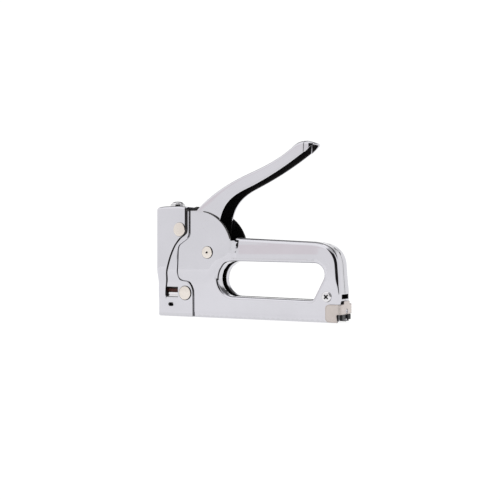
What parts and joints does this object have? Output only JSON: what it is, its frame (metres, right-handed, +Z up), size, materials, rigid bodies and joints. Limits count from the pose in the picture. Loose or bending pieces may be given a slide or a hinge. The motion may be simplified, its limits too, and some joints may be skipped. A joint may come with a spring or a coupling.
{
  "type": "staple gun",
  "caption": "Light-duty hand staple gun: pressed steel body with finger opening, squeeze lever, spring-driven blade, tension screw and pull-out staple feeder.",
  "frame": {"origin": "middle of the whole tool's footprint, on the flat base, lever raised", "axes": "+X to the rear of the tool (the nose faces -X), +Y to its right side seen from behind the nose, +Z up, away from the work"},
  "size_m": [0.1644, 0.0336, 0.139],
  "materials": {
    "chrome": "bright chrome plate on pressed steel, lightly worn",
    "nickel": "warm satin nickel plate",
    "steel": "plain bright steel",
    "dark_steel": "blackened hardened steel",
    "rubber": "dense red-brown rubber",
    "black_plastic": "moulded black plastic"
  },
  "bodies": {
    "frame": {"body_shell_left": "chrome", "body_shell_right": "chrome", "front_cover": "chrome", "driver_guide": "steel", "spring_bridge": "steel", "upper_rivet": "nickel", "lower_rivet": "nickel", "pivot_pin": "nickel", "rear_screw": "nickel", "rear_spacer": "steel", "rear_nut": "nickel", "magazine_channel": "chrome", "staple_rail": "steel", "rail_rivets": "nickel", "bumper_plate": "chrome", "shock_bumper": "rubber", "handle_stop": "black_plastic", "handle_spring": "steel", "main_spring": "steel"},
    "lever": {"lever_shell": "chrome", "lift_arm": "dark_steel", "pivot_bushing": "steel", "lever_cross_pin": "nickel"},
    "driver": {"hammer": "dark_steel", "driver_blade": "steel", "blade_rivets": "nickel"},
    "seat": {"spring_seat": "steel"},
    "adjuster": {"tension_screw": "nickel"},
    "feeder": {"rear_bracket": "nickel", "pusher_rod": "chrome", "rod_collar": "steel", "end_block": "black_plastic", "block_rivets": "steel"},
    "latch": {"latch_tab": "black_plastic"},
    "pusher": {"pusher": "dark_steel", "pusher_spring": "steel"}
  },
  "joints": [
    {"name": "lever_squeeze", "type": "hinge", "parent": "frame", "child": "lever", "pos_m": [-0.0325, 0, 0.0526], "axis": [0, 1, 0], "range_deg": [0, 30], "stiffness_Nm_per_rad": 1, "springref_deg": -28.65, "deforming": ["handle_spring"]},
    {"name": "driver_lift", "type": "slide", "parent": "frame", "child": "driver", "axis": [0, 0, 1], "range_m": [0, 0.0156], "deforming": ["main_spring"]},
    {"name": "tension_turn", "type": "hinge", "parent": "seat", "child": "adjuster", "pos_m": [-0.0697, 0, 0.09], "axis": [0, 0, 1], "range_deg": [0, 1080]},
    {"name": "tension_feed", "type": "slide", "parent": "frame", "child": "seat", "axis": [0, 0, 1], "range_m": [0, 0.0024], "deforming": ["main_spring"]},
    {"name": "feeder_slide", "type": "slide", "parent": "frame", "child": "feeder", "axis": [1, 0, 0], "range_m": [0, 0.1]},
    {"name": "latch_slide", "type": "slide", "parent": "feeder", "child": "latch", "axis": [0, -1, 0], "range_m": [0, 0.003], "stiffness_N_per_m": 50, "springref_m": -0.001},
    {"name": "pusher_slide", "type": "slide", "parent": "feeder", "child": "pusher", "axis": [1, 0, 0], "range_m": [0, 0.1], "stiffness_N_per_m": 40, "springref_m": -0.04, "deforming": ["pusher_spring"]}
  ],
  "couplings": [
    {"joint": "driver_lift", "follows": "lever_squeeze", "m_per_rad": 0.02966},
    {"joint": "tension_turn", "follows": "tension_feed", "rad_per_m": 7854}
  ]
}
